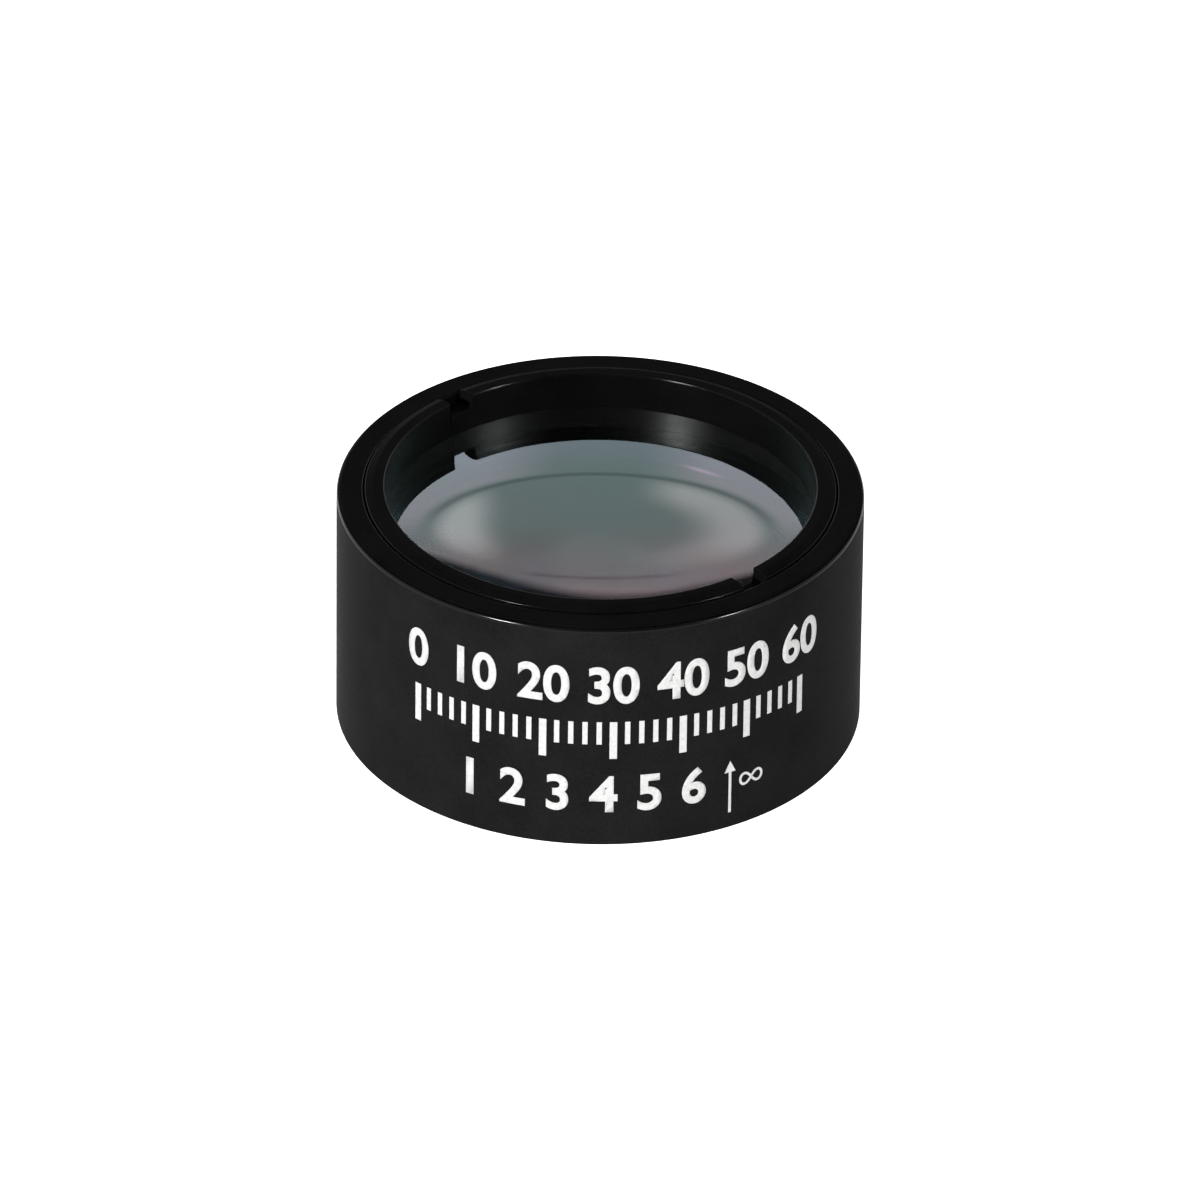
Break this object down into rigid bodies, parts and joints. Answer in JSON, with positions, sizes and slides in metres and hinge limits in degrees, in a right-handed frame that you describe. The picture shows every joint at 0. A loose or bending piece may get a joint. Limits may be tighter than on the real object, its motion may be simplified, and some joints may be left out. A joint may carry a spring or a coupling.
{
  "type": "mounted achromatic doublet lens",
  "caption": "Air-spaced achromatic doublet held in a short black round cell by a slotted retaining ring, for collimating or focusing a laser beam.",
  "frame": {"origin": "centre of the cell's flat bottom face, on the optical axis", "axes": "+Z along the optical axis towards the infinity side, where the retaining ring is; -Y is the side with the printed marks"},
  "size_m": [0.0254, 0.0254, 0.0125],
  "materials": {
    "cell": "satin black anodised",
    "ring": "satin black anodised",
    "spacer": "matt black anodised",
    "front_glass": "polished and anti-reflection coated",
    "rear_glass": "polished and anti-reflection coated"
  },
  "bodies": {
    "root": {"housing": "cell", "retaining_ring": "ring", "front_lens": "front_glass", "spacer_ring": "spacer", "rear_lens": "rear_glass"}
  },
  "joints": []
}
